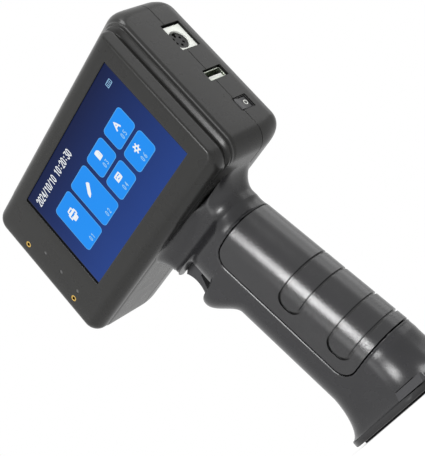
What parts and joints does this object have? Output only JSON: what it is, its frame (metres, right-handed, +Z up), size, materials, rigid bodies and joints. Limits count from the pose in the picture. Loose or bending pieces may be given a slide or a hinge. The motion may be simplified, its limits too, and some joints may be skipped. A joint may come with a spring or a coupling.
{
  "type": "handheld inkjet date coder",
  "caption": "Pistol-grip inkjet coder with a touch screen on its side, sockets at the rear and a swappable ink cartridge behind its nose.",
  "frame": {"origin": "centre of the underside of the grip's foot", "axes": "+Z up; -X the way the print nose points, +X the socket face; -Y the side with the screen"},
  "size_m": [0.1547, 0.06, 0.2345],
  "materials": {
    "case_plastic": "fine grained charcoal moulding",
    "grip_rubber": "satin soft-touch skin",
    "glass": "lit touch screen behind a glass front",
    "steel": "plain",
    "board": "solder masked laminate",
    "black_plastic": "satin",
    "pale_plastic": "satin",
    "white_plastic": "smooth",
    "shell_metal": "nickel plated sheet",
    "brass": "turned",
    "screw_steel": "zinc plated",
    "tyre_rubber": "matte",
    "cell_sleeve": "shrink sleeve",
    "red_plastic": "smooth",
    "lens": "smoked light pipe"
  },
  "bodies": {
    "printer_body": {"screen_bezel": "case_plastic", "near_shell": "case_plastic", "far_shell": "case_plastic", "backstrap_cover": "grip_rubber", "display_glass": "glass", "lcd_panel": "steel", "board_standoffs": "brass", "main_board": "board", "board_chips": "black_plastic", "buzzer": "black_plastic", "port_board": "board", "din_housing": "pale_plastic", "din_insert": "black_plastic", "din_contacts": "brass", "usb_shell": "shell_metal", "usb_tongue": "white_plastic", "rocker_frame": "black_plastic", "status_windows": "lens", "brass_inserts": "brass", "case_screws": "screw_steel", "grip_screws": "screw_steel", "nose_plate": "case_plastic", "nose_screws": "screw_steel", "cartridge_bay": "black_plastic", "contact_block": "white_plastic", "contact_pins": "brass", "wheel_bracket": "steel", "encoder_sensor": "black_plastic", "wheel_bearings": "brass", "roller_pins": "steel", "trigger_pin": "steel", "trigger_switch": "black_plastic", "battery_cell_front": "cell_sleeve", "battery_cell_rear": "cell_sleeve", "battery_holder": "black_plastic", "battery_board": "board", "foot_plate": "case_plastic", "foot_pad": "tyre_rubber", "foot_screws": "screw_steel", "latch_spring": "steel"},
    "trigger_body": {"trigger": "black_plastic", "trigger_spring": "steel"},
    "plunger_body": {"switch_plunger": "red_plastic"},
    "rocker_body": {"rocker_button": "black_plastic"},
    "wheel_body": {"wheel_hub": "black_plastic", "wheel_tyre": "tyre_rubber", "wheel_shaft": "steel", "encoder_disc": "steel"},
    "roller_near_body": {"roller_near": "white_plastic"},
    "roller_far_body": {"roller_far": "white_plastic"},
    "cartridge_body": {"ink_cartridge": "black_plastic", "nozzle_plate": "brass"},
    "latch_body": {"latch_button": "black_plastic"}
  },
  "joints": [
    {"name": "trigger_pull", "type": "hinge", "parent": "printer_body", "child": "trigger_body", "pos_m": [-0.042, 0, 0.125], "axis": [0, -1, 0], "range_deg": [0, 12], "stiffness_Nm_per_rad": 0.6, "springref_deg": -5.73},
    {"name": "plunger_press", "type": "slide", "parent": "printer_body", "child": "plunger_body", "axis": [1, 0, 0], "range_m": [0, 0.0015]},
    {"name": "rocker_tilt", "type": "hinge", "parent": "printer_body", "child": "rocker_body", "pos_m": [0.0366, 0.013, 0.1582], "axis": [0, 0, -1], "range_deg": [0, 14]},
    {"name": "wheel_spin", "type": "hinge", "parent": "printer_body", "child": "wheel_body", "pos_m": [-0.105, 0.00325, 0.217], "axis": [0, 0, 1], "continuous": true},
    {"name": "roller_near_spin", "type": "hinge", "parent": "printer_body", "child": "roller_near_body", "pos_m": [-0.1105, -0.006, 0.1442], "axis": [0, 0, 1], "continuous": true},
    {"name": "roller_far_spin", "type": "hinge", "parent": "printer_body", "child": "roller_far_body", "pos_m": [-0.1105, 0.0125, 0.1442], "axis": [0, 0, 1], "continuous": true},
    {"name": "cartridge_pull", "type": "slide", "parent": "printer_body", "child": "cartridge_body", "axis": [-1, 0, 0], "range_m": [0, 0.07]},
    {"name": "latch_press", "type": "slide", "parent": "printer_body", "child": "latch_body", "axis": [0, 1, 0], "range_m": [0, 0.002], "stiffness_N_per_m": 300, "springref_m": -0.001}
  ],
  "couplings": [
    {"joint": "plunger_press", "follows": "trigger_pull", "m_per_rad": 0.007}
  ]
}
